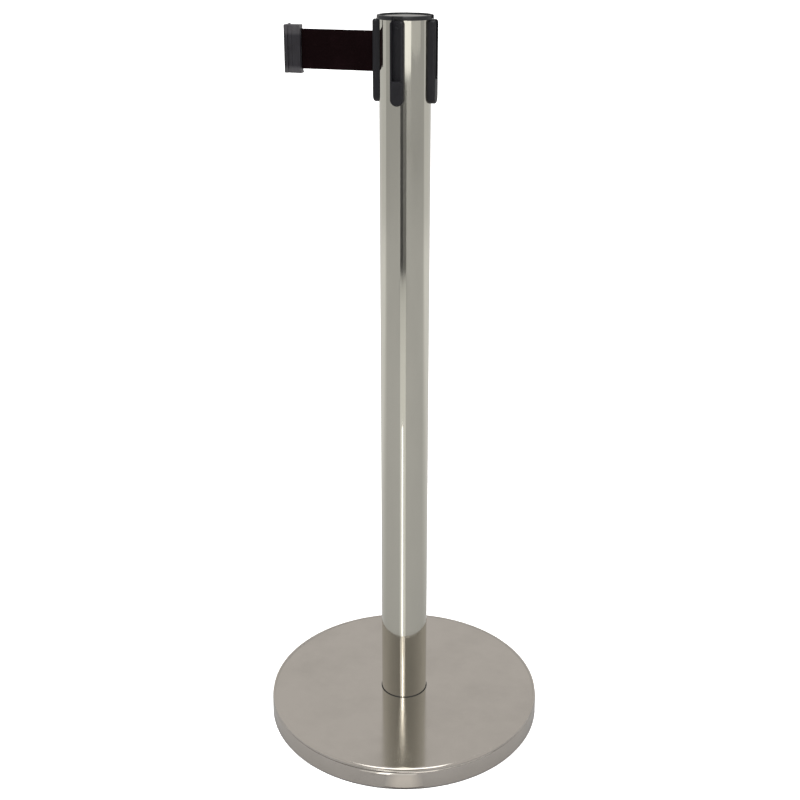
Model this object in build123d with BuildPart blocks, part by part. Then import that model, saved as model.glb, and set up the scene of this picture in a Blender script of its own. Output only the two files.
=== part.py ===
from build123d import *
import math
import os

os.makedirs("parts", exist_ok=True)

# Retractable belt stanchion. Millimetres, Z up. The origin is on the floor at the centre of the
# base, and the Z axis runs up the post. The belt leaves the head towards -X.

# Overall
overall_height = 961.0

# Base
cover_radius = 187.5
cover_top = 30.0
cover_sheet = 1.0
cover_edge_radius = 7.0
hem_height = 2.0
hem_width = 2.4
weight_radius = 183.8
weight_bottom = 3.5
weight_plate = 10.0
groove_outer = 167.0
groove_inner = 164.0
groove_top = 11.4
bolt_recess_radius = 19.0

# Tie bolt, M12
bolt_radius = 6.0
bolt_clearance = 6.5
bolt_head_flats = 19.0
bolt_head_height = 7.5
bolt_tip = 70.0
washer_radius = 15.0
washer_thickness = 2.5
spring_washer_radius = 10.2
spring_washer_thickness = 2.8

# Post
tube_radius = 31.5
tube_wall = 1.2
gasket_thickness = 0.4
tube_bottom = cover_top + gasket_thickness
tube_top = overall_height - 3.1
tube_bore = tube_radius - tube_wall
slot_half_width = 7.1
slot_bottom = 885.8

# Receiver strips: four alike, at every quarter turn
strip_radius = 39.0
strip_half_width = 8.2
strip_bottom = 857.7
strip_top = 956.0
channel_floor_radius = 31.3
channel_back_radius = 29.0
lip_radius = 36.5
cavity_half_width = 6.7
mouth_half_width = 5.5
channel_bottom = 887.0
tongue_bottom = 877.0
strip_screw_height = 950.0

# Cap
ring_radius = 34.0
ring_bottom = 956.2
ring_bore = 30.5
plug_radius = 30.2
plug_inner = 20.0
plug_bottom = 946.5
cap_floor_bottom = 954.5
disc_bottom = 959.1
disc_thickness = 0.7
disc_radius = 30.4
pry_notch_angle = -73.9
cap_screw_angle = 45.0
cap_screw_circle = 25.9

# Cassette and spring case
case_radius = 28.6
case_wall = 1.2
case_floor_bottom = 887.5
case_floor_top = 890.0
case_top = 944.4
lid_top = 946.5
spring_case_bottom = 866.0
spring_case_floor = 868.0
boss_radius = 2.0
case_screw_circle = 25.4

# Belt
belt_width = 48.0
belt_thickness = 0.6
belt_bottom = 893.5
roll_radius = 21.3
hub_radius = 9.0
last_turn_radius = 21.9
guide_pin_x = -26.0
guide_pin_y = 1.75
guide_pin_radius = 1.25

# Spool
flange_radius = 23.6
lower_flange_bottom = 891.0
lower_flange_top = 892.6
upper_flange_bottom = 942.4
upper_flange_top = 943.8
shaft_radius = 4.0
lower_journal = 3.4
upper_journal = 3.0
running_clearance = 0.05
anchor_x = 6.5
anchor_radius = 1.25

# Power spring
spring_strip = 0.35
spring_pitch = 1.6
spring_half_turns = 20
spring_start_radius = 5.2
spring_bottom = 870.0
spring_top = 885.0

# Belt end
end_inner = -131.9
end_neck = -145.5
end_flange = -147.8
end_outer = -152.5
end_bottom = 888.4
end_top = 946.3
end_half_thickness = 5.2
neck_half_thickness = 4.5
flange_half_width = 6.4
end_pin_x = -146.8
end_pin_radius = 1.25
end_pin_pocket = 2.2


def strip_plane(angle, height):
    """Horizontal plane at a height, its x axis pointing radially out at the given angle."""
    turn = math.radians(angle)
    return Plane(origin=(0, 0, height), x_dir=(math.cos(turn), math.sin(turn), 0), z_dir=(0, 0, 1))


def face_plane(angle, radius, height):
    """Vertical plane at a radius, facing radially out, its x axis horizontal and y axis up."""
    turn = math.radians(angle)
    out = (math.cos(turn), math.sin(turn), 0)
    side = (-math.sin(turn), math.cos(turn), 0)
    return Plane(origin=(radius * out[0], radius * out[1], height), x_dir=side, z_dir=out)


# Rubber ring under the weight's edge: foot, pad and a lip that sits in the weight's groove
with BuildPart() as floor_ring:
    with BuildSketch(Plane.XZ):
        with BuildLine():
            Polyline(
                (groove_inner + 0.4, 0.0),
                (cover_radius - 1.2, 0.0),
                (cover_radius - 1.2, 1.3),
                (weight_radius - 0.8, 1.7),
                (weight_radius - 0.8, weight_bottom),
                (groove_outer - 0.4, weight_bottom),
                (groove_outer - 0.4, groove_top - 0.4),
                (groove_inner + 0.4, groove_top - 0.4),
                close=True,
            )
        make_face()
    revolve(axis=Axis.Z)
floor_ring.part.label = "floor_ring"
export_step(floor_ring.part, "parts/floor_ring.step")

# Cast concrete weight: a disc that fills the cover, with the ring's groove and the bolt's recess
plate_top = cover_top - cover_sheet
plate_bottom = plate_top - weight_plate
with BuildPart() as base_weight:
    with BuildSketch(Plane.XZ):
        with BuildLine():
            Polyline(
                (bolt_clearance, plate_top),
                (weight_radius - 5.0, plate_top),
                (weight_radius, plate_top - 5.0),
                (weight_radius, weight_bottom),
                (groove_outer, weight_bottom),
                (groove_outer, groove_top),
                (groove_inner, groove_top),
                (groove_inner, weight_bottom),
                (bolt_recess_radius + 1.5, weight_bottom),
                (bolt_recess_radius, plate_bottom),
                (bolt_clearance, plate_bottom),
                close=True,
            )
        make_face()
    revolve(axis=Axis.Z)
base_weight.part.label = "base_weight"
export_step(base_weight.part, "parts/base_weight.step")

# Pressed stainless cover: flat top, rounded edge, skirt with an inward hem, bolt hole
with BuildPart() as base_cover:
    with BuildSketch(Plane.XZ) as cover_profile:
        with BuildLine():
            Polyline(
                (7.0, cover_top),
                (cover_radius, cover_top),
                (cover_radius, hem_height),
                (cover_radius - hem_width, hem_height),
                (cover_radius - hem_width, hem_height + cover_sheet),
                (cover_radius - cover_sheet, hem_height + cover_sheet),
                (cover_radius - cover_sheet, cover_top - cover_sheet),
                (7.0, cover_top - cover_sheet),
                close=True,
            )
        make_face()
        rim_corners = cover_profile.vertices().filter_by_position(Axis.X, 180.0, 190.0)
        rim_corners = rim_corners.filter_by_position(Axis.Y, 20.0, 31.0).sort_by(Axis.X)
        fillet(rim_corners[-1], cover_edge_radius)
        fillet(rim_corners[0], cover_edge_radius - cover_sheet)
    revolve(axis=Axis.Z)
base_cover.part.label = "base_cover"
export_step(base_cover.part, "parts/base_cover.step")

# Flat washer, spring washer and hexagon bolt in the weight's recess
washer_bottom = plate_bottom - washer_thickness
spring_washer_bottom = washer_bottom - spring_washer_thickness
bolt_bottom = spring_washer_bottom - bolt_head_height
with BuildPart() as tie_washer:
    with BuildSketch(Plane.XY.offset(washer_bottom)):
        Circle(washer_radius)
        Circle(bolt_clearance, mode=Mode.SUBTRACT)
    extrude(amount=washer_thickness)
tie_washer.part.label = "tie_washer"
export_step(tie_washer.part, "parts/tie_washer.step")

with BuildPart() as spring_washer:
    with BuildSketch(Plane.XY.offset(spring_washer_bottom)):
        Circle(spring_washer_radius)
        Circle(bolt_radius + 0.2, mode=Mode.SUBTRACT)
        with Locations((8.0, 0.0)):
            Rectangle(8.0, 1.2, rotation=20.0, mode=Mode.SUBTRACT)
    extrude(amount=spring_washer_thickness)
spring_washer.part.label = "spring_washer"
export_step(spring_washer.part, "parts/spring_washer.step")

with BuildPart() as tie_bolt:
    with BuildSketch(Plane.XY.offset(bolt_bottom)):
        RegularPolygon(bolt_head_flats / 2.0, 6, major_radius=False)
    extrude(amount=bolt_head_height)
    chamfer(tie_bolt.faces().sort_by(Axis.Z)[0].edges(), 0.8)
    with BuildSketch(Plane.XY.offset(spring_washer_bottom)):
        Circle(bolt_radius)
    extrude(amount=bolt_tip - spring_washer_bottom)
    chamfer(tie_bolt.faces().sort_by(Axis.Z)[-1].edges(), 1.0)
tie_bolt.part.label = "tie_bolt"
export_step(tie_bolt.part, "parts/tie_bolt.step")

# Thin ring between the tube's foot and the cover
with BuildPart() as foot_gasket:
    with BuildSketch(Plane.XY.offset(cover_top)):
        Circle(tube_radius + 0.8)
        Circle(12.0, mode=Mode.SUBTRACT)
    extrude(amount=gasket_thickness)
foot_gasket.part.label = "foot_gasket"
export_step(foot_gasket.part, "parts/foot_gasket.step")

# Threaded plug in the tube's foot: plate, centre boss, centring wall and four ribs
plug_fit = tube_bore - 0.05
with BuildPart() as foot_plug:
    with BuildSketch(Plane.XZ):
        with BuildLine():
            Polyline(
                (bolt_radius, tube_bottom),
                (plug_fit, tube_bottom),
                (plug_fit, 66.0),
                (plug_fit - 3.4, 66.0),
                (plug_fit - 4.2, 40.8),
                (13.0, 40.8),
                (12.4, 74.0),
                (bolt_radius, 74.0),
                close=True,
            )
        make_face()
    revolve(axis=Axis.Z)
    with BuildSketch(Plane.XY.offset(40.0)):
        with PolarLocations(20.0, 4, start_angle=45.0):
            Rectangle(16.0, 3.2)
    extrude(amount=22.0)
foot_plug.part.label = "foot_plug"
export_step(foot_plug.part, "parts/foot_plug.step")

# Stainless tube with four slots open at the top, one behind each strip
with BuildPart() as post_tube:
    with BuildSketch(Plane.XY.offset(tube_bottom)):
        Circle(tube_radius)
        Circle(tube_bore, mode=Mode.SUBTRACT)
    extrude(amount=tube_top - tube_bottom)
    with BuildSketch(Plane.XY.offset(slot_bottom)):
        with PolarLocations(tube_radius, 4):
            Rectangle(10.0, 2.0 * slot_half_width)
    extrude(amount=tube_top - slot_bottom, mode=Mode.SUBTRACT)
post_tube.part.label = "post_tube"
export_step(post_tube.part, "parts/post_tube.step")


def channel_strip(angle):
    """Moulded strip: rounded outer body, T channel open at the top, floor through the tube's slot."""
    height = strip_top - strip_bottom
    middle = 0.5 * (strip_top + strip_bottom)
    with BuildPart() as strip:
        with BuildSketch(face_plane(angle, 30.0, middle)) as outline:
            Rectangle(2.0 * strip_half_width, height)
            low = outline.vertices().group_by(Axis.Y)[0]
            fillet(low, strip_half_width - 0.02)
            high = outline.vertices().group_by(Axis.Y)[-1]
            fillet(high, 3.6)
        extrude(amount=strip_radius - 30.0)
        outer_face = strip.faces().sort_by_distance(face_plane(angle, 60.0, middle).origin)[0]
        fillet(outer_face.edges(), 2.5)
        with BuildSketch(Plane.XY.offset(strip_bottom)):
            Circle(tube_radius + 0.05)
        extrude(amount=height, mode=Mode.SUBTRACT)
        # Floor plate through the slot, and the tongue that hooks behind the tube below it
        with BuildSketch(strip_plane(angle, slot_bottom + 0.2)):
            with Locations((0.5 * (channel_back_radius + lip_radius), 0.0)):
                Rectangle(lip_radius - channel_back_radius, 2.0 * slot_half_width - 0.2)
        extrude(amount=strip_top - slot_bottom - 0.2)
        with BuildSketch(strip_plane(angle, tongue_bottom)):
            with Locations((0.5 * (channel_back_radius + tube_radius), 0.0)):
                Rectangle(tube_radius - channel_back_radius, 12.0)
            Circle(plug_radius, mode=Mode.INTERSECT)
        extrude(amount=slot_bottom + 1.0 - tongue_bottom)
        # T channel: wide cavity for the flange of a belt end, narrower mouth between the lips
        with BuildSketch(strip_plane(angle, channel_bottom)):
            with Locations((0.5 * (channel_floor_radius + lip_radius), 0.0)):
                Rectangle(lip_radius - channel_floor_radius, 2.0 * cavity_half_width)
            with Locations((lip_radius + 2.0, 0.0)):
                Rectangle(6.0, 2.0 * mouth_half_width)
        extrude(amount=strip_top - channel_bottom, mode=Mode.SUBTRACT)
        # Countersunk fixing hole near the top of the channel floor
        with Locations(face_plane(angle, channel_floor_radius, strip_screw_height)):
            CounterSinkHole(radius=1.6, counter_sink_radius=2.9, depth=4.0, counter_sink_angle=90)
    return strip


receiver_front = channel_strip(-90.0)
receiver_front.part.label = "receiver_front"
export_step(receiver_front.part, "parts/receiver_front.step")

receiver_right = channel_strip(0.0)
receiver_right.part.label = "receiver_right"
export_step(receiver_right.part, "parts/receiver_right.step")

receiver_back = channel_strip(90.0)
receiver_back.part.label = "receiver_back"
export_step(receiver_back.part, "parts/receiver_back.step")

# The fourth strip has a tall slit in its channel floor, which the belt comes out of
exit_blank = channel_strip(180.0)
with BuildPart() as exit_strip:
    add(exit_blank.part)
    with BuildSketch(Plane.XY.offset(belt_bottom - 1.5)):
        with Locations((-channel_floor_radius, 0.0)):
            Rectangle(8.0, 4.0)
    extrude(amount=belt_width + 3.0, mode=Mode.SUBTRACT)
exit_strip.part.label = "exit_strip"
export_step(exit_strip.part, "parts/exit_strip.step")

# Countersunk screws through the strips' floors into the cap's plug, with cross recesses
with BuildPart() as receiver_screws:
    for angle in (0.0, 90.0, 180.0, 270.0):
        screw_plane = face_plane(angle, channel_floor_radius - 0.05, strip_screw_height)
        with BuildSketch(screw_plane):
            Circle(2.75)
        with BuildSketch(screw_plane.offset(-1.2)):
            Circle(1.5)
        loft()
        with BuildSketch(screw_plane.offset(-1.2)):
            Circle(1.5)
        extrude(amount=-6.8)
        with BuildSketch(screw_plane):
            Rectangle(3.0, 0.7)
            Rectangle(0.7, 3.0)
        extrude(amount=-0.9, mode=Mode.SUBTRACT)
receiver_screws.part.label = "receiver_screws"
export_step(receiver_screws.part, "parts/receiver_screws.step")

# Cap ring: top land, skirt outside the tube, floor under the disc and a plug inside the tube
with BuildPart() as cap_ring:
    with BuildSketch(Plane.XZ) as cap_profile:
        with BuildLine():
            Polyline(
                (0.0, cap_floor_bottom),
                (plug_inner, cap_floor_bottom),
                (plug_inner, plug_bottom),
                (plug_radius, plug_bottom),
                (plug_radius, tube_top),
                (tube_radius + 0.05, tube_top),
                (tube_radius + 0.05, ring_bottom),
                (ring_radius, ring_bottom),
                (ring_radius, overall_height),
                (ring_bore, overall_height),
                (ring_bore, disc_bottom),
                (0.0, disc_bottom),
                close=True,
            )
        make_face()
        land = cap_profile.vertices().group_by(Axis.Y)[-1].sort_by(Axis.X)
        fillet(land[-1], 1.2)
        fillet(land[0], 0.5)
    revolve(axis=Axis.Z)
    # Notches that let a belt end drop into each receiver channel, and clear the strips' floors
    for angle in (0.0, 90.0, 270.0):
        with BuildSketch(strip_plane(angle, ring_bottom - 0.5)):
            with Locations((channel_floor_radius + 5.0, 0.0)):
                Rectangle(10.0, 2.0 * cavity_half_width)
        extrude(amount=10.0, mode=Mode.SUBTRACT)
    for angle in (0.0, 90.0, 180.0, 270.0):
        with BuildSketch(strip_plane(angle, plug_bottom)):
            with Locations((channel_back_radius + 4.95, 0.0)):
                Rectangle(10.0, 2.0 * slot_half_width)
        extrude(amount=ring_bottom - plug_bottom, mode=Mode.SUBTRACT)
        with BuildSketch(face_plane(angle, channel_back_radius, strip_screw_height)):
            Circle(1.5)
        extrude(amount=-6.0, mode=Mode.SUBTRACT)
    # Shallow notch in the skirt's lower edge for prying the cap off
    with BuildSketch(strip_plane(pry_notch_angle, ring_bottom)):
        with Locations((ring_radius, 0.0)):
            Rectangle(2.0 * (ring_radius - tube_radius - 0.05), 4.5)
    extrude(amount=tube_top - ring_bottom - 0.1, mode=Mode.SUBTRACT)
    # Recessed holes for the screws that carry the cassette
    with Locations(Plane.XY.offset(disc_bottom)):
        with PolarLocations(cap_screw_circle, 3, start_angle=cap_screw_angle):
            CounterBoreHole(radius=1.3, counter_bore_radius=2.6, counter_bore_depth=2.6, depth=14.0)
cap_ring.part.label = "cap_ring"
export_step(cap_ring.part, "parts/cap_ring.step")

# Stainless disc let into the ring
with BuildPart() as cap_disc:
    with BuildSketch(Plane.XY.offset(disc_bottom)):
        Circle(disc_radius)
    extrude(amount=disc_thickness)
    chamfer(cap_disc.faces().sort_by(Axis.Z)[-1].edges(), 0.25)
cap_disc.part.label = "cap_disc"
export_step(cap_disc.part, "parts/cap_disc.step")

# Three pan-head screws from the cap's floor through the lid into the cassette's bosses
cap_screw_head = disc_bottom - 2.6
with BuildPart() as cap_screws:
    with BuildSketch(Plane.XY.offset(cap_screw_head)):
        with PolarLocations(cap_screw_circle, 3, start_angle=cap_screw_angle):
            Circle(2.5)
    extrude(amount=1.8)
    with BuildSketch(Plane.XY.offset(cap_screw_head)):
        with PolarLocations(cap_screw_circle, 3, start_angle=cap_screw_angle):
            Circle(1.25)
    extrude(amount=-20.0)
    with BuildSketch(Plane.XY.offset(cap_screw_head + 0.8)):
        with PolarLocations(cap_screw_circle, 3, start_angle=cap_screw_angle):
            Rectangle(2.6, 0.6)
            Rectangle(0.6, 2.6)
    extrude(amount=1.0, mode=Mode.SUBTRACT)
cap_screws.part.label = "cap_screws"
export_step(cap_screws.part, "parts/cap_screws.step")

# Cassette: a cup with bosses for the cap screws, a belt slit and seats for the guide pins
with BuildPart() as cassette_body:
    with BuildSketch(Plane.XY.offset(case_floor_bottom)):
        Circle(case_radius)
        Circle(5.0, mode=Mode.SUBTRACT)
    extrude(amount=case_floor_top - case_floor_bottom)
    with BuildSketch(Plane.XY.offset(case_floor_top)):
        Circle(case_radius)
        Circle(case_radius - case_wall, mode=Mode.SUBTRACT)
    extrude(amount=case_top - case_floor_top)
    with BuildSketch(Plane.XY.offset(case_top - 13.0)):
        with PolarLocations(cap_screw_circle, 3, start_angle=cap_screw_angle):
            Circle(boss_radius)
        Circle(case_radius, mode=Mode.INTERSECT)
    extrude(amount=13.0)
    with BuildSketch(Plane.XY.offset(case_top - 10.0)):
        with PolarLocations(cap_screw_circle, 3, start_angle=cap_screw_angle):
            Circle(1.25)
    extrude(amount=10.0, mode=Mode.SUBTRACT)
    with BuildSketch(Plane.XY.offset(case_floor_bottom)):
        with PolarLocations(case_screw_circle, 3, start_angle=cap_screw_angle):
            Circle(1.25)
        with Locations((guide_pin_x, guide_pin_y), (guide_pin_x, -guide_pin_y)):
            Circle(guide_pin_radius)
    extrude(amount=case_floor_top - case_floor_bottom, mode=Mode.SUBTRACT)
    with BuildSketch(Plane.XY.offset(lower_flange_top - 0.4)):
        with Locations((-case_radius, 0.0)):
            Rectangle(6.0, 4.0)
    extrude(amount=upper_flange_bottom - lower_flange_top + 0.8, mode=Mode.SUBTRACT)
cassette_body.part.label = "cassette_body"
export_step(cassette_body.part, "parts/cassette_body.step")

# Lid of the cassette, with the upper bush's seat
with BuildPart() as cassette_lid:
    with BuildSketch(Plane.XY.offset(case_top)):
        Circle(case_radius)
        Circle(4.6, mode=Mode.SUBTRACT)
        with PolarLocations(cap_screw_circle, 3, start_angle=cap_screw_angle):
            Circle(1.3, mode=Mode.SUBTRACT)
        with Locations((guide_pin_x, guide_pin_y), (guide_pin_x, -guide_pin_y)):
            Circle(guide_pin_radius, mode=Mode.SUBTRACT)
    extrude(amount=lid_top - case_top)
cassette_lid.part.label = "cassette_lid"
export_step(cassette_lid.part, "parts/cassette_lid.step")

# Two steel pins that the belt runs out between
with BuildPart() as guide_pins:
    with BuildSketch(Plane.XY.offset(case_floor_bottom + 0.2)):
        with Locations((guide_pin_x, guide_pin_y), (guide_pin_x, -guide_pin_y)):
            Circle(guide_pin_radius)
    extrude(amount=lid_top - case_floor_bottom - 0.4)
guide_pins.part.label = "guide_pins"
export_step(guide_pins.part, "parts/guide_pins.step")

# Flanged plain bearings of the spool's shaft
with BuildPart() as lower_bush:
    with BuildSketch(Plane.XY.offset(case_floor_bottom)):
        Circle(5.0)
    extrude(amount=case_floor_top - case_floor_bottom)
    with BuildSketch(Plane.XY.offset(case_floor_top)):
        Circle(7.0)
    extrude(amount=lower_flange_bottom - case_floor_top - 0.1)
    with BuildSketch(Plane.XY.offset(case_floor_bottom)):
        Circle(lower_journal + running_clearance)
    extrude(amount=10.0, mode=Mode.SUBTRACT)
lower_bush.part.label = "lower_bush"
export_step(lower_bush.part, "parts/lower_bush.step")

with BuildPart() as upper_bush:
    with BuildSketch(Plane.XY.offset(case_top)):
        Circle(4.6)
    extrude(amount=lid_top - case_top)
    with BuildSketch(Plane.XY.offset(upper_flange_top + 0.1)):
        Circle(7.0)
    extrude(amount=case_top - upper_flange_top - 0.1)
    with BuildSketch(Plane.XY.offset(upper_flange_top)):
        Circle(upper_journal + running_clearance)
    extrude(amount=10.0, mode=Mode.SUBTRACT)
upper_bush.part.label = "upper_bush"
export_step(upper_bush.part, "parts/upper_bush.step")

# Spring case under the cassette: cup with three screw bosses
with BuildPart() as spring_case:
    with BuildSketch(Plane.XY.offset(spring_case_bottom)):
        Circle(case_radius)
    extrude(amount=spring_case_floor - spring_case_bottom)
    with BuildSketch(Plane.XY.offset(spring_case_floor)):
        Circle(case_radius)
        Circle(case_radius - case_wall, mode=Mode.SUBTRACT)
    extrude(amount=case_floor_bottom - spring_case_floor)
    with BuildSketch(Plane.XY.offset(spring_case_floor)):
        with PolarLocations(case_screw_circle, 3, start_angle=cap_screw_angle):
            Circle(boss_radius + 0.2)
    extrude(amount=case_floor_bottom - spring_case_floor)
    with BuildSketch(Plane.XY.offset(spring_case_bottom)):
        with PolarLocations(case_screw_circle, 3, start_angle=cap_screw_angle):
            Circle(1.3)
    extrude(amount=case_floor_bottom - spring_case_bottom, mode=Mode.SUBTRACT)
    fillet(spring_case.faces().sort_by(Axis.Z)[0].outer_wire().edges(), 0.8)
spring_case.part.label = "spring_case"
export_step(spring_case.part, "parts/spring_case.step")

with BuildPart() as case_screws:
    with BuildSketch(Plane.XY.offset(spring_case_bottom)):
        with PolarLocations(case_screw_circle, 3, start_angle=cap_screw_angle):
            Circle(2.3)
    extrude(amount=-1.7)
    with BuildSketch(Plane.XY.offset(spring_case_bottom)):
        with PolarLocations(case_screw_circle, 3, start_angle=cap_screw_angle):
            Circle(1.25)
    extrude(amount=case_floor_top - spring_case_bottom - 0.2)
    with BuildSketch(Plane.XY.offset(spring_case_bottom - 1.7)):
        with PolarLocations(case_screw_circle, 3, start_angle=cap_screw_angle):
            Rectangle(2.4, 0.6)
            Rectangle(0.6, 2.4)
    extrude(amount=0.9, mode=Mode.SUBTRACT)
case_screws.part.label = "case_screws"
export_step(case_screws.part, "parts/case_screws.step")

# Flat spiral spring: half circles of growing radius about two centres, with a straight inner tab
half = 0.5 * spring_strip
with BuildPart() as power_spring:
    with BuildSketch(Plane.XY.offset(spring_bottom)):
        with BuildLine():
            for side in (half, -half):
                for turn in range(spring_half_turns):
                    centre_x = 0.5 * spring_pitch * (turn % 2)
                    arc_radius = spring_start_radius + 0.5 * spring_pitch * turn + side
                    CenterArc((centre_x, 0.0), arc_radius, 180.0 * (turn % 2), 180.0)
            Line((spring_start_radius - half, 0.0), (spring_start_radius + half, 0.0))
            spring_end = spring_start_radius + 0.5 * spring_pitch * spring_half_turns
            Line((spring_end - half, 0.0), (spring_end + half, 0.0))
        make_face()
        with Locations((0.5 * spring_start_radius + 0.5, -half)):
            Rectangle(spring_start_radius - 0.65, spring_strip)
    extrude(amount=spring_top - spring_bottom)
power_spring.part.label = "power_spring"
export_step(power_spring.part, "parts/power_spring.step")

# Reel: hub with its lower flange, and a keyhole that takes the webbing's inner end
with BuildPart() as belt_spool:
    with BuildSketch(Plane.XY.offset(lower_flange_bottom)):
        Circle(flange_radius)
    extrude(amount=lower_flange_top - lower_flange_bottom)
    with BuildSketch(Plane.XY.offset(lower_flange_top)):
        Circle(hub_radius)
    extrude(amount=upper_flange_top - lower_flange_top)
    with BuildSketch(Plane.XY.offset(lower_flange_bottom)):
        Circle(shaft_radius)
        with Locations((-shaft_radius, 0.0)):
            Rectangle(1.6, 8.0, mode=Mode.SUBTRACT)
    extrude(amount=upper_flange_top - lower_flange_bottom, mode=Mode.SUBTRACT)
    with BuildSketch(Plane.XY.offset(lower_flange_top)):
        with Locations((anchor_x, 0.0)):
            Circle(anchor_radius + belt_thickness)
        with Locations((anchor_x + 2.0, 0.0)):
            Rectangle(4.0, 2.0 * belt_thickness + 0.1)
    extrude(amount=upper_flange_top - lower_flange_top, mode=Mode.SUBTRACT)
belt_spool.part.label = "belt_spool"
export_step(belt_spool.part, "parts/belt_spool.step")

# Upper flange, pressed over the hub's end
with BuildPart() as spool_flange:
    with BuildSketch(Plane.XY.offset(upper_flange_bottom)):
        Circle(flange_radius)
        Circle(hub_radius, mode=Mode.SUBTRACT)
    extrude(amount=upper_flange_top - upper_flange_bottom)
spool_flange.part.label = "spool_flange"
export_step(spool_flange.part, "parts/spool_flange.step")

# Shaft: lower journal slotted for the spring, flatted middle in the reel, grooved upper journal
with BuildPart() as spool_shaft:
    with BuildSketch(Plane.XY.offset(spring_case_floor + 0.3)):
        Circle(lower_journal)
    extrude(amount=lower_flange_bottom - spring_case_floor - 0.3)
    with BuildSketch(Plane.XY.offset(lower_flange_bottom)):
        Circle(shaft_radius)
        with Locations((-shaft_radius, 0.0)):
            Rectangle(1.6, 8.0, mode=Mode.SUBTRACT)
    extrude(amount=upper_flange_top - lower_flange_bottom)
    with BuildSketch(Plane.XY.offset(upper_flange_top)):
        Circle(upper_journal)
    extrude(amount=4.9)
    with BuildSketch(Plane.XY.offset(spring_bottom - 1.0)):
        with Locations((2.0, -half)):
            Rectangle(4.0, spring_strip + 0.5)
    extrude(amount=spring_top - spring_bottom + 2.0, mode=Mode.SUBTRACT)
    with BuildSketch(Plane.XY.offset(lid_top + 0.15)):
        Circle(upper_journal)
        Circle(2.3, mode=Mode.SUBTRACT)
    extrude(amount=0.75, mode=Mode.SUBTRACT)
spool_shaft.part.label = "spool_shaft"
export_step(spool_shaft.part, "parts/spool_shaft.step")

# E-clip in the shaft's groove, above the lid
with BuildPart() as shaft_clip:
    with BuildSketch(Plane.XY.offset(lid_top + 0.15)):
        Circle(5.4)
        Circle(2.3, mode=Mode.SUBTRACT)
        with Locations((0.0, 4.0)):
            Rectangle(3.6, 8.0, mode=Mode.SUBTRACT)
        with Locations((-3.6, -1.2), (3.6, -1.2)):
            Circle(1.0, mode=Mode.SUBTRACT)
    extrude(amount=0.7)
shaft_clip.part.label = "shaft_clip"
export_step(shaft_clip.part, "parts/shaft_clip.step")

# Pin inside the hub that the webbing's inner end is looped round
with BuildPart() as anchor_pin:
    with BuildSketch(Plane.XY.offset(lower_flange_top)):
        with Locations((anchor_x, 0.0)):
            Circle(anchor_radius)
    extrude(amount=upper_flange_top - lower_flange_top - 0.2)
anchor_pin.part.label = "anchor_pin"
export_step(anchor_pin.part, "parts/anchor_pin.step")

# Webbing wound on the reel, with its inner loop round the anchor pin
with BuildPart() as belt_roll:
    with BuildSketch(Plane.XY.offset(belt_bottom)):
        Circle(roll_radius)
        Circle(hub_radius, mode=Mode.SUBTRACT)
        with Locations((anchor_x + 1.9, 0.0)):
            Rectangle(2.6, 2.0 * belt_thickness)
        with Locations((anchor_x, 0.0)):
            Circle(anchor_radius + belt_thickness)
            Circle(anchor_radius, mode=Mode.SUBTRACT)
    extrude(amount=belt_width)
belt_roll.part.label = "belt_roll"
export_step(belt_roll.part, "parts/belt_roll.step")

# Webbing from the roll, round one guide pin and straight out. The run between pin and roll is the
# inner tangent of the pin's bend and the outermost turn.
bend_radius = guide_pin_y
span_x = -guide_pin_x
span_y = bend_radius
span = math.hypot(span_x, span_y)
dive = math.asin((last_turn_radius + bend_radius) / span) - math.atan2(span_y, span_x)
left = (math.sin(dive), math.cos(dive))
bend_start = (guide_pin_x, 0.0)
bend_middle = (
    guide_pin_x + bend_radius * math.sin(0.5 * dive),
    -guide_pin_y + bend_radius * math.cos(0.5 * dive),
)
bend_end = (guide_pin_x + bend_radius * left[0], -guide_pin_y + bend_radius * left[1])
roll_tangent = (-last_turn_radius * left[0], -last_turn_radius * left[1])
tail_inner = -32.5
with BuildPart() as belt_lead:
    with BuildSketch(Plane.XY.offset(belt_bottom)):
        with BuildLine():
            Line((tail_inner, 0.0), bend_start)
            ThreePointArc(bend_start, bend_middle, bend_end)
            Line(bend_end, roll_tangent)
        trace(line_width=belt_thickness)
    extrude(amount=belt_width)
belt_lead.part.label = "belt_lead"
export_step(belt_lead.part, "parts/belt_lead.step")

# Exposed webbing between the exit strip and the belt end
with BuildPart() as belt_tail:
    with BuildSketch(Plane.XY.offset(belt_bottom)):
        with Locations((0.5 * (tail_inner + end_inner + 0.3), 0.0)):
            Rectangle(tail_inner - end_inner - 0.3, belt_thickness)
    extrude(amount=belt_width)
belt_tail.part.label = "belt_tail"
export_step(belt_tail.part, "parts/belt_tail.step")

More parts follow.
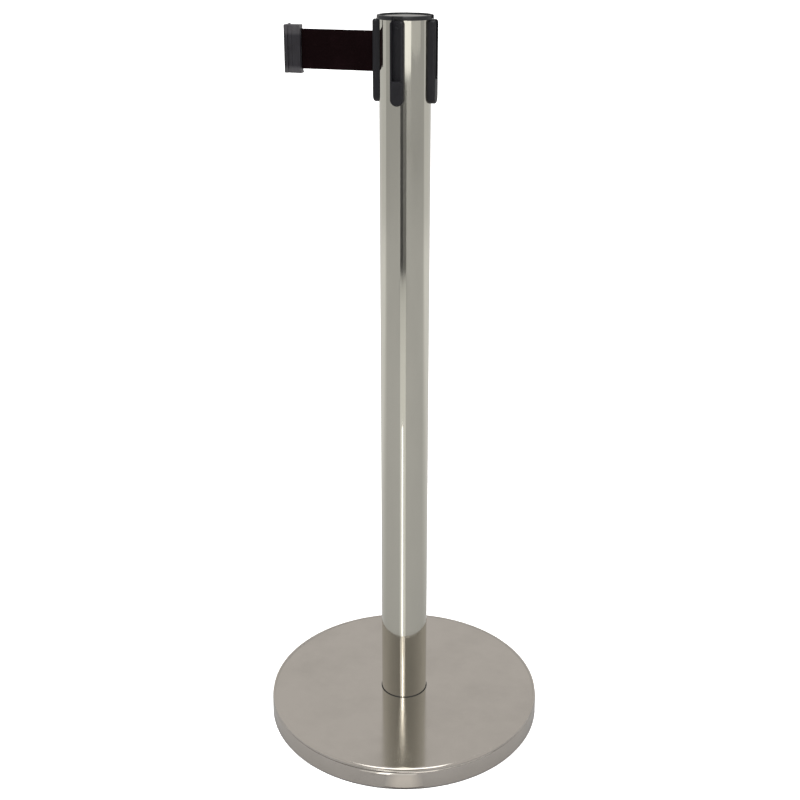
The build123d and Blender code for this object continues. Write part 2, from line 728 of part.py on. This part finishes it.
# Belt end: body, neck and T flange, with a slit for the webbing and a pocket for its pin
end_height = end_top - end_bottom
with BuildPart() as belt_end_body:
    with BuildSketch(Plane.XY.offset(end_bottom)) as end_outline:
        with Locations((0.5 * (end_inner + end_neck), 0.0)):
            Rectangle(end_inner - end_neck, 2.0 * end_half_thickness)
        with Locations((0.5 * (end_flange + end_outer), 0.0)):
            Rectangle(end_flange - end_outer, 2.0 * flange_half_width)
        fillet(end_outline.vertices().filter_by_position(Axis.X, end_outer, end_flange), 0.9)
        with Locations((0.5 * (end_neck + end_flange), 0.0)):
            Rectangle(end_neck - end_flange + 1.0, 2.0 * neck_half_thickness)
    extrude(amount=end_height)
    chamfer(belt_end_body.faces().filter_by(Axis.Z).edges().filter_by(Axis.X), 0.6)
    # Shallow panels in both broad faces, between the thicker top and bottom shoulders
    panel_bottom = belt_bottom + 3.2
    panel_height = belt_width - 5.8
    for side in (1.0, -1.0):
        with BuildSketch(Plane.XY.offset(panel_bottom)):
            with Locations((0.5 * (end_inner + end_neck) + 0.6, side * end_half_thickness)):
                Rectangle(end_inner - end_neck - 4.6, 1.0)
        extrude(amount=panel_height, mode=Mode.SUBTRACT)
    with BuildSketch(Plane.XY.offset(belt_bottom - 0.6)):
        with Locations((0.5 * (end_inner + end_pin_x), 0.0)):
            Rectangle(end_inner - end_pin_x, 2.0 * belt_thickness + 0.4)
        with Locations((end_pin_x, 0.0)):
            Circle(end_pin_pocket)
    extrude(amount=belt_width + 1.2, mode=Mode.SUBTRACT)
    with BuildSketch(Plane.XY.offset(end_bottom + 1.5)):
        with Locations((end_pin_x, 0.0)):
            Circle(end_pin_radius)
    extrude(amount=end_height, mode=Mode.SUBTRACT)
    # Small foot at the lower inner corner
    with BuildSketch(Plane.XY.offset(end_bottom)):
        with Locations((end_inner + 0.35, 0.0)):
            Rectangle(1.1, 2.0 * end_half_thickness - 1.4)
    extrude(amount=2.4)
belt_end_body.part.label = "belt_end_body"
export_step(belt_end_body.part, "parts/belt_end_body.step")

# Pin dropped in from the top, with a small domed head
with BuildPart() as belt_pin:
    with BuildSketch(Plane.XY.offset(end_bottom + 1.6)):
        with Locations((end_pin_x, 0.0)):
            Circle(end_pin_radius)
    extrude(amount=end_height - 1.6)
    with BuildSketch(Plane.XY.offset(end_top)):
        with Locations((end_pin_x, 0.0)):
            Circle(1.7)
    extrude(amount=1.2)
    fillet(belt_pin.faces().sort_by(Axis.Z)[-1].edges(), 0.8)
belt_pin.part.label = "belt_pin"
export_step(belt_pin.part, "parts/belt_pin.step")

# Sewn loop of the webbing inside the belt end
with BuildPart() as belt_hem:
    with BuildSketch(Plane.XY.offset(belt_bottom)):
        with Locations((0.5 * (end_inner + end_pin_x) - 0.75, 0.0)):
            Rectangle(end_inner - end_pin_x - 1.5, 2.0 * belt_thickness)
        with Locations((end_pin_x, 0.0)):
            Circle(end_pin_radius + belt_thickness)
            Circle(end_pin_radius, mode=Mode.SUBTRACT)
    extrude(amount=belt_width)
belt_hem.part.label = "belt_hem"
export_step(belt_hem.part, "parts/belt_hem.step")
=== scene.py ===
import math

import bmesh
import bpy
from mathutils import Matrix, Vector


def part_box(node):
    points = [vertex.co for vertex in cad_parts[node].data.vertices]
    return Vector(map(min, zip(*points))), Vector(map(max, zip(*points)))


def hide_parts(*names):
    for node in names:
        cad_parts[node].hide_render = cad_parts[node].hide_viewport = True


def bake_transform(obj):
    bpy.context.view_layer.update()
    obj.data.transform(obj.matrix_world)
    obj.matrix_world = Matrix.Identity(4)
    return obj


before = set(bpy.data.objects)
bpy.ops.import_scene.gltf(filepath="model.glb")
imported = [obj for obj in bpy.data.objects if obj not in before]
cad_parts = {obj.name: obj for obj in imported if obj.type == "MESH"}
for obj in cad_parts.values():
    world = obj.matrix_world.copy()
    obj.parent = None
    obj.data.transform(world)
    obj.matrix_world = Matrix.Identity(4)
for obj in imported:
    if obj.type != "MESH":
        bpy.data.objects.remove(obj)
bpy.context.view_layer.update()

# Retractable belt stanchion. Metres, Z up, origin on the floor at the centre of the base.

MM = 0.001


# ---------------------------------------------------------------- node helpers

def feed(tree, value, socket):
    """Links value to the socket if it is another socket, and otherwise sets it as a constant."""
    if hasattr(value, "links"):
        tree.links.new(value, socket)
    else:
        socket.default_value = value


def math_node(tree, operation, first, second=0.0):
    node = tree.nodes.new("ShaderNodeMath")
    node.operation = operation
    feed(tree, first, node.inputs[0])
    feed(tree, second, node.inputs[1])
    return node.outputs[0]


def range_node(tree, value, low, high, start=0.0, end=1.0):
    """value between low and high is mapped to start..end, and clamped."""
    node = tree.nodes.new("ShaderNodeMapRange")
    node.clamp = True
    feed(tree, value, node.inputs["Value"])
    node.inputs["From Min"].default_value = low
    node.inputs["From Max"].default_value = high
    node.inputs["To Min"].default_value = start
    node.inputs["To Max"].default_value = end
    return node.outputs["Result"]


def vector_node(tree, operation, vector, other, output):
    node = tree.nodes.new("ShaderNodeVectorMath")
    node.operation = operation
    tree.links.new(vector, node.inputs[0])
    node.inputs[1].default_value = other
    return node.outputs[output]


def camera_ray(tree):
    return tree.nodes.new("ShaderNodeLightPath").outputs["Is Camera Ray"]


class Shader:
    """Builds one material's node tree: a Principled shader, and the texture nodes that feed it."""

    def __init__(self, name, colour, roughness, metallic=0.0):
        self.material = bpy.data.materials.new(name)
        self.material.use_nodes = True
        self.tree = self.material.node_tree
        self.surface = self.tree.nodes["Principled BSDF"]
        self.surface.inputs["Base Color"].default_value = (*colour, 1.0)
        self.surface.inputs["Roughness"].default_value = roughness
        self.surface.inputs["Metallic"].default_value = metallic
        self.place = self.tree.nodes.new("ShaderNodeTexCoord").outputs["Object"]

    def set(self, **values):
        for name, value in values.items():
            self.surface.inputs[name.replace("_", " ")].default_value = value

    def math(self, operation, first, second=0.0):
        return math_node(self.tree, operation, first, second)

    def span(self, value, low, high, start=0.0, end=1.0):
        return range_node(self.tree, value, low, high, start, end)

    def mix(self, first, first_share, second, second_share):
        """The sum of two values, each times its share."""
        return self.math(
            "ADD",
            self.math("MULTIPLY", first, first_share),
            self.math("MULTIPLY", second, second_share),
        )

    def stretched(self, scale):
        """Object coordinates scaled by three numbers."""
        return vector_node(self.tree, "MULTIPLY", self.place, scale, "Vector")

    def along(self, direction):
        """Distance from the post's axis in a horizontal direction."""
        return vector_node(self.tree, "DOT_PRODUCT", self.place, direction, "Value")

    def axis(self, name):
        node = self.tree.nodes.new("ShaderNodeSeparateXYZ")
        self.tree.links.new(self.place, node.inputs[0])
        return node.outputs[name]

    def noise(self, scale, detail=3.0, stretch=(1, 1, 1)):
        node = self.tree.nodes.new("ShaderNodeTexNoise")
        self.tree.links.new(self.stretched(stretch), node.inputs["Vector"])
        node.inputs["Scale"].default_value = scale
        node.inputs["Detail"].default_value = detail
        node.inputs["Roughness"].default_value = 0.55
        return node.outputs["Fac"]

    def cells(self, scale, stretch=(1, 1, 1), feature="F1"):
        node = self.tree.nodes.new("ShaderNodeTexVoronoi")
        node.feature = feature
        self.tree.links.new(self.stretched(stretch), node.inputs["Vector"])
        node.inputs["Scale"].default_value = scale
        return node.outputs["Distance"]

    def tint(self, mask, colour):
        """Turns the base colour towards colour where mask is 1."""
        node = self.tree.nodes.new("ShaderNodeMix")
        node.data_type = "RGBA"
        feed(self.tree, mask, node.inputs["Factor"])
        target = self.surface.inputs["Base Color"]
        if target.is_linked:
            self.tree.links.new(target.links[0].from_socket, node.inputs[6])
        else:
            node.inputs[6].default_value = target.default_value
        node.inputs[7].default_value = (*colour, 1.0)
        self.tree.links.new(node.outputs[2], target)

    def vary_roughness(self, mask, low, high):
        self.tree.links.new(self.span(mask, 0.3, 0.7, low, high), self.surface.inputs["Roughness"])

    def bump(self, height, strength, distance):
        node = self.tree.nodes.new("ShaderNodeBump")
        node.inputs["Strength"].default_value = strength
        node.inputs["Distance"].default_value = distance
        self.tree.links.new(height, node.inputs["Height"])
        socket = self.surface.inputs["Normal"]
        if socket.is_linked:
            self.tree.links.new(socket.links[0].from_socket, node.inputs["Normal"])
        self.tree.links.new(node.outputs["Normal"], socket)


# ---------------------------------------------------------------- materials

def scaled(colour, factor):
    return tuple(factor * part for part in colour)


def polished_steel(name, colour, low, high, waviness):
    """Mirror-polished stainless: faint haze, upright polishing hairlines and a slow waviness."""
    m = Shader(name, colour, low, metallic=1.0)
    hairlines = m.noise(900.0, 2.0, stretch=(1.0, 1.0, 0.012))
    haze = m.noise(24.0, 4.0, stretch=(1.0, 1.0, 0.25))
    m.vary_roughness(m.mix(hairlines, 0.55, haze, 0.45), low, high)
    m.tint(m.span(haze, 0.45, 0.75, 0.0, 0.6), scaled(colour, 0.9))
    m.bump(hairlines, 0.05, 0.00002)
    m.bump(m.noise(9.0, 1.0, stretch=(1.0, 1.0, 0.4)), waviness, 0.0004)
    return m.material


def turned_steel(name, colour, low, high, ring_scale):
    """Spun stainless: gloss in fine rings round the post's axis, haze and a few handling marks."""
    m = Shader(name, colour, low, metallic=1.0)
    squares = m.math("ADD", m.math("POWER", m.axis("X"), 2.0), m.math("POWER", m.axis("Y"), 2.0))
    rings = m.math("SINE", m.math("MULTIPLY", m.math("SQRT", squares), ring_scale))
    haze = m.noise(18.0, 5.0)
    scratches = m.cells(46.0, stretch=(1.0, 0.22, 1.0), feature="DISTANCE_TO_EDGE")
    marks = m.span(scratches, 0.0, 0.012, 1.0, 0.0)
    gloss = m.math("ADD", m.mix(haze, 0.75, rings, 0.07), m.math("MULTIPLY", marks, 0.10))
    m.vary_roughness(gloss, low, high)
    m.tint(m.span(haze, 0.42, 0.72, 0.0, 0.5), scaled(colour, 0.86))
    return m.material


def plastic_shader(name, colour, low, high, specular=0.5):
    """Injection moulding: fine spark grain, soft gloss changes and light scuffs."""
    m = Shader(name, colour, low)
    spark = m.noise(2600.0, 2.0)
    cloud = m.noise(70.0, 4.0)
    scuffs = m.span(m.noise(160.0, 3.0, stretch=(1.0, 1.0, 0.08)), 0.66, 0.74)
    m.vary_roughness(m.mix(cloud, 0.8, spark, 0.2), low, high)
    m.tint(m.span(cloud, 0.4, 0.7, 0.0, 0.5), scaled(colour, 1.45))
    m.tint(m.math("MULTIPLY", scuffs, 0.22), tuple(2.4 * part + 0.01 for part in colour))
    m.bump(spark, 0.35, 0.00003)
    m.bump(cloud, 0.10, 0.00015)
    m.set(Specular_IOR_Level=specular)
    return m


def moulded_plastic(*settings, **options):
    return plastic_shader(*settings, **options).material


def end_plastic_painted_highlights(name, colour, low, high):
    """The belt end: moulded plastic, with painted highlights that make it paler towards its top and
    bottom.
    """
    m = plastic_shader(name, colour, low, high)
    end_low, end_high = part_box("belt_end_body")
    height = m.axis("Z")
    top = m.span(height, end_high.z - 13.0 * MM, end_high.z - 9.0 * MM)
    bottom = m.span(height, end_low.z + 9.0 * MM, end_low.z + 5.0 * MM)
    patchy = m.span(m.noise(220.0, 3.0), 0.2, 0.8, 0.5, 1.0)
    # Painted highlights: paler bands at the top and bottom of the belt end, broken up by noise
    m.tint(m.math("MULTIPLY", m.math("MAXIMUM", top, bottom), patchy), (0.075, 0.072, 0.078))
    return m.material


def rubber(name):
    m = Shader(name, (0.018, 0.018, 0.019), 0.75)
    grain = m.noise(1400.0, 3.0)
    dust = m.noise(55.0, 4.0)
    m.vary_roughness(dust, 0.62, 0.9)
    m.tint(m.span(dust, 0.5, 0.8, 0.0, 0.4), (0.07, 0.066, 0.06))
    m.bump(grain, 0.4, 0.00006)
    return m.material


def concrete(name):
    m = Shader(name, (0.33, 0.325, 0.31), 0.9)
    sand = m.noise(420.0, 6.0)
    stones = m.cells(120.0)
    stain = m.noise(9.0, 4.0)
    pits = m.span(m.cells(60.0), 0.0, 0.12, 1.0, 0.0)
    m.tint(m.span(stones, 0.1, 0.6, 0.35, 0.0), (0.20, 0.195, 0.185))
    m.tint(m.span(stain, 0.45, 0.75, 0.0, 0.5), (0.43, 0.42, 0.395))
    m.tint(m.math("MULTIPLY", pits, 0.6), (0.12, 0.117, 0.11))
    m.vary_roughness(sand, 0.82, 0.97)
    m.bump(sand, 0.5, 0.0003)
    m.bump(m.math("SUBTRACT", 1.0, pits), 0.6, 0.0008)
    return m.material


def plated_steel(name, colour, low=0.22, high=0.42):
    """Zinc or black plating on small turned parts."""
    m = Shader(name, colour, low, metallic=1.0)
    cloud = m.noise(260.0, 4.0)
    tool = m.noise(2400.0, 1.0, stretch=(0.04, 0.04, 1.0))
    m.vary_roughness(m.mix(cloud, 0.6, tool, 0.4), low, high)
    m.tint(m.span(cloud, 0.45, 0.7, 0.0, 0.6), scaled(colour, 0.72))
    m.bump(tool, 0.12, 0.00002)
    return m.material


def die_casting(name):
    m = Shader(name, (0.50, 0.50, 0.49), 0.45, metallic=1.0)
    skin = m.noise(500.0, 5.0)
    flow = m.noise(40.0, 3.0, stretch=(1.0, 1.0, 0.3))
    m.vary_roughness(m.mix(skin, 0.5, flow, 0.5), 0.36, 0.62)
    m.tint(m.span(flow, 0.4, 0.7, 0.0, 0.6), (0.36, 0.36, 0.355))
    m.bump(skin, 0.3, 0.00012)
    return m.material


def nylon(name):
    m = Shader(name, (0.74, 0.72, 0.65), 0.42)
    cloud = m.noise(180.0, 3.0)
    m.vary_roughness(cloud, 0.34, 0.52)
    m.tint(m.span(cloud, 0.4, 0.7, 0.0, 0.5), (0.66, 0.63, 0.55))
    m.bump(m.noise(1500.0, 2.0), 0.15, 0.00004)
    m.set(Subsurface_Weight=0.08)
    return m.material


def spring_strip(name):
    m = Shader(name, (0.17, 0.19, 0.25), 0.25, metallic=1.0)
    temper = m.noise(60.0, 2.0)
    m.tint(m.span(temper, 0.4, 0.7, 0.0, 0.8), (0.30, 0.26, 0.22))
    m.vary_roughness(m.noise(900.0, 2.0, stretch=(1.0, 1.0, 0.03)), 0.18, 0.36)
    m.bump(m.noise(1800.0, 1.0, stretch=(1.0, 1.0, 0.03)), 0.1, 0.00002)
    return m.material


WEAVE_ALONG = 1.5 * MM
WEAVE_ACROSS = 1.25 * MM


def woven_webbing(name):
    """Tight herringbone webbing. The weave lies in object coordinates, so it keeps its scale."""
    m = Shader(name, (0.0046, 0.0010, 0.0014), 0.62)
    # The belt runs along X where it is open and round Z where it is wound
    along = m.math("MULTIPLY", m.axis("X"), 2.0 * math.pi / WEAVE_ALONG)
    across = m.math("MULTIPLY", m.axis("Z"), 2.0 * math.pi / WEAVE_ACROSS)
    weft = m.math("SINE", m.math("ADD", along, m.math("MULTIPLY", m.math("SINE", across), 0.9)))
    warp = m.math("SINE", across)
    cloth = m.mix(weft, 0.5, warp, 0.4)
    fibre = m.noise(5200.0, 2.0, stretch=(1.0, 1.0, 0.35))
    wear = m.noise(32.0, 4.0)
    # Painted shade: darker in the hollows of the weave, following its bump height
    m.tint(m.span(cloth, -0.7, 0.8, 0.55, 0.0), (0.002, 0.0006, 0.0008))
    m.tint(m.span(wear, 0.5, 0.75, 0.0, 0.35), (0.012, 0.004, 0.0055))
    m.vary_roughness(fibre, 0.5, 0.78)
    m.bump(fibre, 0.3, 0.00008)
    m.bump(cloth, 0.7, 0.00022)
    m.set(Sheen_Weight=0.03, Sheen_Roughness=0.45, Sheen_Tint=(0.8, 0.5, 0.55, 1.0))
    m.set(Specular_IOR_Level=0.04)
    return m.material


tube_steel = polished_steel("tube_steel", (0.60, 0.585, 0.52), 0.035, 0.085, 0.05)
cover_steel = turned_steel("cover_steel", (0.60, 0.56, 0.515), 0.10, 0.19, 5200.0)
disc_steel = turned_steel("disc_steel", (0.66, 0.655, 0.65), 0.05, 0.11, 9000.0)
strip_plastic = moulded_plastic("strip_plastic", (0.0070, 0.0068, 0.0090), 0.38, 0.52, specular=0.36)
ring_plastic = moulded_plastic("ring_plastic", (0.010, 0.010, 0.012), 0.30, 0.46)
# The belt end's material carries painted highlights: paler bands at its top and bottom
end_plastic = end_plastic_painted_highlights("end_plastic", (0.015, 0.0140, 0.0175), 0.25, 0.40)
case_plastic = moulded_plastic("case_plastic", (0.045, 0.045, 0.050), 0.42, 0.60)
zinc = plated_steel("zinc_plate", (0.58, 0.58, 0.56))
black_pin = plated_steel("black_pin", (0.055, 0.055, 0.060), 0.28, 0.45)
webbing = woven_webbing("webbing_weave")

NODE_MATERIALS = {
    "floor_ring": rubber("ring_rubber"),
    "foot_gasket": rubber("gasket_rubber"),
    "base_weight": concrete("weight_concrete"),
    "base_cover": cover_steel,
    "tie_washer": zinc,
    "spring_washer": zinc,
    "tie_bolt": zinc,
    "foot_plug": die_casting("plug_casting"),
    "post_tube": tube_steel,
    "receiver_front": strip_plastic,
    "receiver_right": strip_plastic,
    "receiver_back": strip_plastic,
    "exit_strip": strip_plastic,
    "receiver_screws": black_pin,
    "cap_ring": ring_plastic,
    "cap_disc": disc_steel,
    "cap_screws": zinc,
    "cassette_body": case_plastic,
    "cassette_lid": case_plastic,
    "guide_pins": zinc,
    "lower_bush": nylon("bush_nylon_low"),
    "upper_bush": nylon("bush_nylon_high"),
    "spring_case": case_plastic,
    "case_screws": zinc,
    "power_spring": spring_strip("spring_strip"),
    "belt_spool": case_plastic,
    "spool_flange": case_plastic,
    "spool_shaft": zinc,
    "shaft_clip": spring_strip("clip_strip"),
    "anchor_pin": zinc,
    "belt_roll": webbing,
    "belt_lead": webbing,
    "belt_hem": webbing,
    "belt_end_body": end_plastic,
    "belt_pin": black_pin,
}

for node_name, material in NODE_MATERIALS.items():
    for material_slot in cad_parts[node_name].material_slots:
        material_slot.material = material


# ---------------------------------------------------------------- belt

def mesh_piece(name, verts, faces, material, smooth=True):
    mesh = bpy.data.meshes.new(name)
    mesh.from_pydata(verts, [], faces)
    mesh.materials.append(material)
    for polygon in mesh.polygons:
        polygon.use_smooth = smooth
    mesh.update()
    piece = bpy.data.objects.new(name, mesh)
    bpy.context.collection.objects.link(piece)
    return piece


def belt_section(low, high, thickness, half_rows, ribs, rib_height):
    """Half outline (front side) of the webbing across its width: (offset, z), with lengthwise ribs
    and a rounded selvedge."""
    rows = []
    for i in range(half_rows + 1):
        share = i / half_rows
        z = low + (high - low) * share
        from_edge = min(share, 1.0 - share) * (high - low)
        edge = min(1.0, from_edge / (0.5 * thickness))
        body = 0.5 * thickness * math.sqrt(max(0.0, 1.0 - (1.0 - edge) ** 2))
        rib = rib_height * math.cos(2.0 * math.pi * ribs * share) if from_edge > thickness else 0.0
        rows.append((max(0.05 * thickness, body - rib_height + rib), z))
    return rows


tail_low, tail_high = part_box("belt_tail")
BELT_THICKNESS = tail_high.y - tail_low.y
BELT_LENGTH = tail_high.x - tail_low.x

RIB_COUNT = 24
ROWS_PER_RIB = 4
COLUMN_COUNT = 120


def belt_mesh():
    """Closed ribbed sheet from the exit strip to the belt end, one ring of points per column."""
    section = belt_section(
        tail_low.z, tail_high.z, BELT_THICKNESS, ROWS_PER_RIB * RIB_COUNT, RIB_COUNT, 0.04 * MM
    )
    outline = [(-offset, z) for offset, z in section]
    outline += [(offset, z) for offset, z in reversed(section)]
    ring = len(outline)
    verts = []
    for column in range(COLUMN_COUNT + 1):
        x = tail_high.x - BELT_LENGTH * column / COLUMN_COUNT
        verts += [(x, y, z) for y, z in outline]
    faces = []
    for first in range(0, COLUMN_COUNT * ring, ring):
        for i in range(ring):
            after = (i + 1) % ring
            faces.append((first + i, first + after, first + ring + after, first + ring + i))
    faces.append(tuple(range(ring)))
    faces.append(tuple(reversed(range(COLUMN_COUNT * ring, (COLUMN_COUNT + 1) * ring))))
    return verts, faces


belt = mesh_piece("belt_webbing", *belt_mesh(), webbing)
fix = bmesh.new()
fix.from_mesh(belt.data)
bmesh.ops.recalc_face_normals(fix, faces=fix.faces)
fix.to_mesh(belt.data)
fix.free()
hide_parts("belt_tail")
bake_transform(belt)


# ---------------------------------------------------------------- floor, light and camera

def stage_panel(name, corners, material):
    piece = mesh_piece(name, corners, [(0, 1, 2, 3)], material, smooth=False)
    return piece


CAMERA_TURN = math.radians(16.08)
CAMERA_DISTANCE = 1.484
CAMERA_HEIGHT = 1.073
CAMERA_PITCH = math.radians(19.31)
CAMERA_ROLL = math.radians(0.095)
FOCAL_LENGTH = 54.72
LENS_SHIFT = (-0.0059, -0.075)
# Horizontal directions, as the camera sees them
INTO_VIEW = (-math.sin(CAMERA_TURN), math.cos(CAMERA_TURN), 0.0)
ACROSS_VIEW = (math.cos(CAMERA_TURN), math.sin(CAMERA_TURN), 0.0)


def around(turn, distance, height):
    """Point at a turn in degrees from the camera's side of the post, positive to its right."""
    angle = CAMERA_TURN + math.radians(turn)
    return Vector((distance * math.sin(angle), -distance * math.cos(angle), height))


camera_data = bpy.data.cameras.new("camera")
camera_data.sensor_width = 36.0
camera_data.lens = FOCAL_LENGTH
camera_data.shift_x, camera_data.shift_y = LENS_SHIFT
camera = bpy.data.objects.new("camera", camera_data)
bpy.context.collection.objects.link(camera)
camera.matrix_world = (
    Matrix.Translation(around(0.0, CAMERA_DISTANCE, CAMERA_HEIGHT))
    @ Matrix.Rotation(CAMERA_TURN, 4, "Z")
    @ Matrix.Rotation(math.radians(90.0) - CAMERA_PITCH, 4, "X")
    @ Matrix.Rotation(CAMERA_ROLL, 4, "Z")
)
bpy.context.scene.camera = camera


def softbox(name, place, aim, width, tall, power):
    data = bpy.data.lights.new(name, "AREA")
    data.shape = "RECTANGLE"
    data.size = width
    data.size_y = tall
    data.energy = power
    lamp = bpy.data.objects.new(name, data)
    bpy.context.collection.objects.link(lamp)
    lamp.location = place
    lamp.rotation_euler = (aim - place).to_track_quat("-Z", "Y").to_euler()
    lamp.visible_camera = False
    return lamp


def hidden_card(name, corners, material):
    """Card that metal mirrors, but that the camera doesn't see and that casts no shadow."""
    card = stage_panel(name, corners, material)
    card.visible_camera = False
    card.visible_shadow = False


def standing_card(name, turns, distance, heights, colour, glow=0.0):
    """Upright card that faces the post."""
    cloth = Shader(name + "_cloth", colour, 0.95)
    cloth.vary_roughness(cloth.noise(6.0, 2.0), 0.9, 1.0)
    cloth.bump(cloth.noise(300.0, 2.0), 0.3, 0.001)
    cloth.set(Emission_Color=(1.0, 0.99, 0.96, 1.0), Emission_Strength=glow)
    left, right = turns
    low, high = heights
    corners = [around(left, distance, low), around(right, distance, low),
               around(right, distance, high), around(left, distance, high)]
    hidden_card(name, corners, cloth.material)


def floor_card(name, turns, distances, height, paper):
    """Card that lies on the floor between two distances from the post's axis."""
    left, right = turns
    near, far = distances
    corners = [around(left, near, height), around(right, near, height),
               around(right, far, height), around(left, far, height)]
    hidden_card(name, corners, paper.material)


def card_shader(name, colour):
    paper = Shader(name, colour, 0.9)
    paper.vary_roughness(paper.noise(8.0, 2.0), 0.85, 0.95)
    return paper


def floor_shader():
    """Studio paper: white where it is seen directly, and grey where metal mirrors it."""
    paint = Shader("floor_paper", (0.9, 0.9, 0.9), 0.9)
    # Painted light in the mirrored paper: lighter behind the post and further from it
    by_side = paint.span(paint.along(INTO_VIEW), 0.05, 0.6, 0.37, 0.54)
    from_post = vector_node(paint.tree, "LENGTH", paint.place, (0.0, 0.0, 0.0), "Value")
    by_distance = paint.span(from_post, 0.2, 2.5, 0.95, 1.17)
    mirrored = paint.math("MULTIPLY", by_side, by_distance)
    direct = camera_ray(paint.tree)
    paper = paint.math("MAXIMUM", mirrored, paint.math("MULTIPLY", direct, 0.9))
    paint.tree.links.new(paper, paint.surface.inputs["Base Color"])
    paint.vary_roughness(paint.noise(3.0, 2.0), 0.85, 0.95)
    paint.set(Emission_Color=(1.0, 1.0, 1.0, 1.0), Specular_IOR_Level=0.0)
    glow = paint.math("MULTIPLY", direct, 0.6)
    paint.tree.links.new(glow, paint.surface.inputs["Emission Strength"])
    return paint


HALF_FLOOR = 20.0
stage_panel(
    "studio_floor",
    [(-HALF_FLOOR, -HALF_FLOOR, 0.0), (HALF_FLOOR, -HALF_FLOOR, 0.0),
     (HALF_FLOOR, HALF_FLOOR, 0.0), (-HALF_FLOOR, HALF_FLOOR, 0.0)],
    floor_shader().material,
)

# Dark flags behind the camera draw the dark line up the post's upper half
standing_card("dark_flag", (-21.0, -6.0), 2.3, (0.0, 0.66), (0.11, 0.11, 0.115))
standing_card("grey_flag", (-6.0, 7.0), 2.3, (0.0, 0.60), (0.26, 0.26, 0.26))
# A lit wall far off shines in the head's right half
standing_card("lit_wall", (-4.0, 26.0), 5.0, (0.30, 2.0), (0.8, 0.8, 0.8), glow=0.9)
standing_card("pale_wall", (26.0, 70.0), 5.0, (0.42, 2.0), (0.7, 0.7, 0.7), glow=0.25)

# Cards on the floor in front: the light band up the post's lower half and its bright core
white_paper = card_shader("card_paper", (0.58, 0.58, 0.57))
floor_card("white_card", (-21.0, 6.0), (0.22, 2.25), 0.002, white_paper)
glow_paper = card_shader("glow_paper", (0.9, 0.9, 0.9))
glow_paper.set(Emission_Color=(1.0, 0.99, 0.97, 1.0), Emission_Strength=1.6)
floor_card("glow_card", (-12.5, -6.5), (0.22, 1.05), 0.004, glow_paper)

# A painted pool of light on a card at the base's front edge, fading to the sides, for the cover's
# skirt to mirror
skirt_paper = card_shader("skirt_paper", (0.36, 0.36, 0.36))
aside = skirt_paper.math("ABSOLUTE", skirt_paper.along(ACROSS_VIEW))
skirt_paper.tint(skirt_paper.span(aside, 0.028, 0.010), (0.54, 0.53, 0.51))
floor_card("skirt_card", (-8.0, 8.0), (0.192, 0.235), 0.001, skirt_paper)

middle = Vector((0.0, 0.0, 0.6))
foot = Vector((0.0, 0.0, 0.05))
for side, turn in (("left", -110.0), ("right", 112.0)):
    lamp = softbox(side + "_softbox", around(turn, 2.4, 1.6), middle, 1.4, 2.0, power=10.0)
    lamp.visible_glossy = False
# The overhead softbox draws the bright line round the cover's edge
softbox("top_softbox", around(-2.0, 0.67, 2.25), foot, 1.4, 2.3, power=21.0)
softbox("front_lamp", around(-8.0, 1.9, 1.35), foot, 0.15, 0.18, power=0.8)
standing_card("lamp_haze", (-20.0, 4.0), 2.35, (1.0, 1.9), (0.8, 0.8, 0.8), glow=1.0)

sky_data = bpy.data.lights.new("soft_sky", "SUN")
sky_data.energy = 2.0
sky_data.angle = math.radians(80.0)
sky = bpy.data.objects.new("soft_sky", sky_data)
bpy.context.collection.objects.link(sky)
sky.rotation_euler = (-around(-10.0, 0.5, 1.0)).to_track_quat("-Z", "Y").to_euler()
sky.visible_glossy = False


def studio_world():
    """A grey room for metal to mirror, lighter higher up and behind the post, and white where
    the camera sees it directly."""
    world = bpy.data.worlds.new("studio")
    world.use_nodes = True
    tree = world.node_tree
    room = tree.nodes["Background"]
    room.inputs["Color"].default_value = (1.0, 0.985, 0.955, 1.0)
    toward = tree.nodes.new("ShaderNodeTexCoord").outputs["Generated"]
    split = tree.nodes.new("ShaderNodeSeparateXYZ")
    tree.links.new(toward, split.inputs[0])
    by_height = range_node(tree, split.outputs["Z"], 0.05, 0.45, 0.36, 0.64)
    into_view = vector_node(tree, "DOT_PRODUCT", toward, INTO_VIEW, "Value")
    by_side = range_node(tree, into_view, -0.7, 0.3, 0.62, 1.0)
    strength = math_node(tree, "MULTIPLY", by_height, by_side)
    tree.links.new(strength, room.inputs["Strength"])
    backdrop = tree.nodes.new("ShaderNodeBackground")
    backdrop.inputs["Color"].default_value = (1.0, 1.0, 1.0, 1.0)
    backdrop.inputs["Strength"].default_value = 1.05
    chosen = tree.nodes.new("ShaderNodeMixShader")
    tree.links.new(camera_ray(tree), chosen.inputs[0])
    tree.links.new(room.outputs[0], chosen.inputs[1])
    tree.links.new(backdrop.outputs[0], chosen.inputs[2])
    tree.links.new(chosen.outputs[0], tree.nodes["World Output"].inputs["Surface"])
    return world


bpy.context.scene.world = studio_world()
bpy.context.scene.view_settings.view_transform = "Standard"
